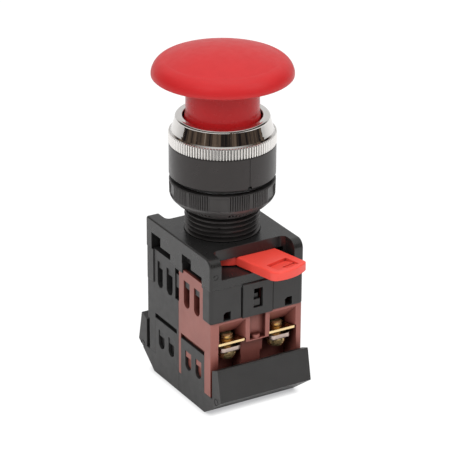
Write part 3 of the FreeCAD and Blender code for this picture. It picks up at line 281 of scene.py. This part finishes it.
# slot: (builder, its settings); heights in neck, lift and lip are object Z
LOOKS = {
    "cap_red": (plastic, dict(
        colour=(0.455, 0.011, 0.013), roughness=0.42, specular=0.38, grain=0.10,
        rounding=0.30 * MM, edge=0.15, blotch=0.03, hollow=1.0, tint=(1.0, 0.98, 0.98),
        neck=dict(bottom=0.0300, top=0.0312, roughness=-0.17, specular=0.62))),
    "lever_red": (plastic, dict(
        colour=(0.74, 0.060, 0.042), roughness=0.40, grain=0.14, rounding=0.25 * MM,
        edge=0.20, blotch=0.04)),
    "chrome": (metal, dict(
        colour=(0.80, 0.775, 0.75), roughness=0.035, grain=0.02, rounding=0.10 * MM,
        tint=(0.70, 0.67, 0.64), spread=0.03,
        groove=dict(distance=0.6 * MM, start=0.45, end=0.85, low=0.10),
        lip=dict(start=0.0184, end=0.0187, high=0.10))),
    "head_black": (plastic, dict(
        colour=(0.0125, 0.0115, 0.0112), roughness=0.31, grain=0.16, edge=0.5,
        tint=(1.0, 0.92, 0.90))),
    # nut_black: lift paints bounce light onto its lower face, hollow paints shade into its flutes
    "nut_black": (plastic, dict(
        colour=(0.0225, 0.0212, 0.0208), roughness=0.38, grain=0.28, edge=0.6,
        tint=(1.0, 0.95, 0.93), hollow=0.45, lift=dict(start=-0.0051, end=-0.0045, low=2.6))),
    "base_black": (plastic, dict(
        colour=(0.014, 0.0137, 0.0135), roughness=0.30, grain=0.20, edge=0.5)),
    "carrier_black": (plastic, dict(
        colour=(0.016, 0.0157, 0.0156), roughness=0.38, grain=0.22, edge=0.5)),
    "cover_black": (plastic, dict(
        colour=(0.019, 0.0187, 0.0185), roughness=0.40, edge=0.5)),
    # block_brown: hollow, reach and inner paint deep shade into its cavities
    "block_brown": (plastic, dict(
        colour=(0.275, 0.096, 0.078), roughness=0.40, grain=0.22, edge=0.30, specular=0.40,
        blotch=0.08, hollow=0.08, reach=8 * MM, shade_start=0.06, shade_end=0.84,
        inner=(0.185, 0.036, 0.026))),
    "block_black": (plastic, dict(
        colour=(0.015, 0.0148, 0.0148), roughness=0.40, grain=0.22, edge=0.5)),
    "inner_white": (plastic, dict(colour=(0.62, 0.62, 0.58), roughness=0.45, grain=0.2)),
    "plunger_grey": (plastic, dict(colour=(0.22, 0.22, 0.23), roughness=0.45, grain=0.2)),
    "rubber": (rubber, dict(colour=(0.014, 0.014, 0.014))),
    "washer_steel": (metal, dict(colour=(0.48, 0.48, 0.49), roughness=0.32, streak=(1, 1, 6))),
    "spring_steel": (metal, dict(colour=(0.58, 0.58, 0.60), roughness=0.22)),
    "brass": (metal, dict(
        colour=(0.88, 0.67, 0.36), roughness=0.26, tint=(0.70, 0.48, 0.24),
        streak=(1, 7, 1), grain=0.07)),
    "bridge_brass": (metal, dict(
        colour=(0.82, 0.62, 0.33), roughness=0.28, tint=(0.60, 0.42, 0.22))),
    "silver": (metal, dict(
        colour=(0.86, 0.85, 0.82), roughness=0.25, tint=(0.60, 0.57, 0.52))),
    "screw_zinc": (metal, dict(
        colour=(1.0, 0.74, 0.36), roughness=0.17, tint=(0.90, 0.58, 0.34), grain=0.015,
        spread=0.03, metallic=0.90, stain=0.10, edge=0.5)),
    "clamp_zinc": (metal, dict(
        colour=(0.60, 0.48, 0.42), roughness=0.30, tint=(0.50, 0.38, 0.33), grain=0.05,
        spread=0.06)),
}
MATERIALS = {name: build(name, **settings) for name, (build, settings) in LOOKS.items()}

for name, node in NODES.items():
    node.data.materials.clear()
    node.data.materials.append(MATERIALS[SLOTS[name]])

# ------------------------------------------------------------- springs on their bodies
# spring node, its joint, anchor height, keep value
SPRINGS = (
    ("return_spring", "button_push", -0.012, 0.75),
    ("nc_return_spring", "nc_plunger_slide", -0.058, 0.342),
    ("no_return_spring", "no_plunger_slide", -0.058, 0.342),
    ("no_contact_spring", "no_bridge_slide", -0.0339, 0.655),
)


def live_spring(name, joint, anchor_z, keep):
    """Replaces a CAD spring with a copy that has its own mesh, on the same body."""
    source = NODES[name]
    spring = bpy.data.objects.new(name + "_live", source.data.copy())
    scene.collection.objects.link(spring)
    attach(spring, source["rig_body"])
    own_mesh(spring)
    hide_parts(name)


for row in SPRINGS:
    live_spring(*row)


# ----------------------------------------------------------------------- stage
def floor_material():
    t = Material("floor_pale")
    t.surface({
        "Base Color": t.mix(t.ramp(t.noise(scale=6)),
                            base=(0.66, 0.66, 0.66), over=(0.70, 0.70, 0.70)),
        "Roughness": 0.6,
        "Specular IOR Level": 0.2,
        "Emission Color": (1, 1, 1),
        "Emission Strength": 0.16,
    })
    # seen directly, the floor is bright paper with a painted contact shadow, a soft dark line at
    # the object's foot
    painted_shade = t.occlusion_shade(distance=2.2 * MM, start=0.15, end=0.95, low=0.0, samples=12)
    paper = t.mix(painted_shade, base=(0.42, 0.42, 0.43), over=(1.0, 1.0, 1.0))
    glow = t.add("ShaderNodeEmission", {"Color": paper, "Strength": 1.08})
    camera_ray = t.add("ShaderNodeLightPath").outputs["Is Camera Ray"]
    blend = t.add("ShaderNodeMixShader", {
        0: t.multiply(camera_ray, factor=0.93),
        1: t.bsdf.outputs["BSDF"],
        2: glow.outputs["Emission"],
    })
    t.fill(t.output, {"Surface": blend.outputs["Shader"]})
    return t.material


def build_floor():
    bpy.ops.mesh.primitive_plane_add(size=6.0, location=(0, 0, CAD_LOW.z))
    floor = bpy.context.object
    floor.name = "floor"
    floor.data.materials.append(floor_material())


def build_world():
    """A streaky warm room, white behind the object and overhead."""
    world = bpy.data.worlds.new("studio")
    scene.world = world
    world.use_nodes = True
    t = Nodes(world.node_tree, "Generated", curve="SMOOTHSTEP")
    x, y, z = t.add("ShaderNodeSeparateXYZ", {0: t.coord}).outputs

    def turned(x_share, y_share):
        return t.math("ADD", t.multiply(x, x_share), t.multiply(y, y_share))

    # along: 1 towards the camera, -1 behind the object; across: to the camera's right
    along = turned(math.sin(CAMERA_AZIMUTH), -math.cos(CAMERA_AZIMUTH))
    across = turned(math.cos(CAMERA_AZIMUTH), math.sin(CAMERA_AZIMUTH))
    azimuth = t.math("ARCTAN2", across, along)

    # streaks around the room, stretched upwards
    unrolled = t.add("ShaderNodeCombineXYZ", {
        0: t.multiply(azimuth, factor=1.0),
        1: t.multiply(z, factor=0.35),
    }).outputs[0]
    streaks = t.noise(scale=3.4, detail=5.0, roughness=0.75, coord=unrolled)
    room = t.mix(t.ramp(streaks, start=0.42, end=0.62),
                 base=(0.018, 0.015, 0.016), over=(0.19, 0.14, 0.105))
    room = t.mix(t.ramp(streaks, start=0.60, end=0.74), room, over=(0.55, 0.49, 0.42))
    behind = t.ramp(t.math("ABSOLUTE", azimuth), start=math.radians(116), end=math.radians(140))
    room = t.mix(behind, room, over=(1.0, 1.0, 1.0))
    room = t.mix(t.ramp(z, start=0.50, end=0.78), room, over=(1.12, 1.12, 1.12))

    # matt surfaces see a calmer room: dim at the sides, brighter overhead
    calm = t.mix(t.ramp(z, start=-0.1, end=0.75), base=(0.40, 0.40, 0.40), over=(1.0, 1.0, 1.0))
    diffuse_ray = t.add("ShaderNodeLightPath").outputs["Is Diffuse Ray"]
    colour = t.mix(diffuse_ray, room, calm)
    background = t.add("ShaderNodeBackground", {"Strength": 0.72, "Color": colour})
    t.add("ShaderNodeOutputWorld", {"Surface": background.outputs["Background"]})


def area_light(name, location, target, size, power):
    """A disk light aimed at target, left out of reflections."""
    data = bpy.data.lights.new(name, "AREA")
    data.energy = power
    data.shape = "DISK"
    data.size = size
    light = bpy.data.objects.new(name, data)
    scene.collection.objects.link(light)
    light.location = location
    light.visible_glossy = False
    light.rotation_mode = "QUATERNION"
    aim = Vector(target) - Vector(location)
    light.rotation_quaternion = aim.to_track_quat("-Z", "Y")


def build_camera():
    elevation = math.radians(24.08)
    roll = math.radians(0.22)
    data = bpy.data.cameras.new("camera")
    camera = bpy.data.objects.new("camera", data)
    scene.collection.objects.link(camera)
    back = Vector((
        math.sin(CAMERA_AZIMUTH) * math.cos(elevation),
        -math.cos(CAMERA_AZIMUTH) * math.cos(elevation),
        math.sin(elevation),
    ))
    right = (-back).cross(Vector((0, 0, 1))).normalized()
    up = right.cross(-back)
    rolled_right = math.cos(roll) * right + math.sin(roll) * up
    rolled_up = -math.sin(roll) * right + math.cos(roll) * up
    pose = Matrix((rolled_right, rolled_up, back)).transposed().to_4x4()
    pose.translation = Vector((-0.33790686, -0.57678023, 0.28332943))
    camera.matrix_world = pose
    data.sensor_width = 36.0
    data.lens = 202.064
    data.shift_x = 0.00022222
    data.clip_start = 0.05
    data.clip_end = 20.0
    scene.camera = camera


build_floor()
build_world()
area_light("key_left", location=(-0.75, -0.45, 0.85), target=(0, 0, -0.01), size=0.7, power=7.0)
area_light("top", location=(0.10, 0.05, 1.0), target=(0, 0, 0), size=0.8, power=3.4)
area_light("fill_right", location=(0.45, -0.75, 0.75), target=(0, 0, 0), size=0.7, power=4.4)
build_camera()
scene.view_settings.view_transform = "Standard"
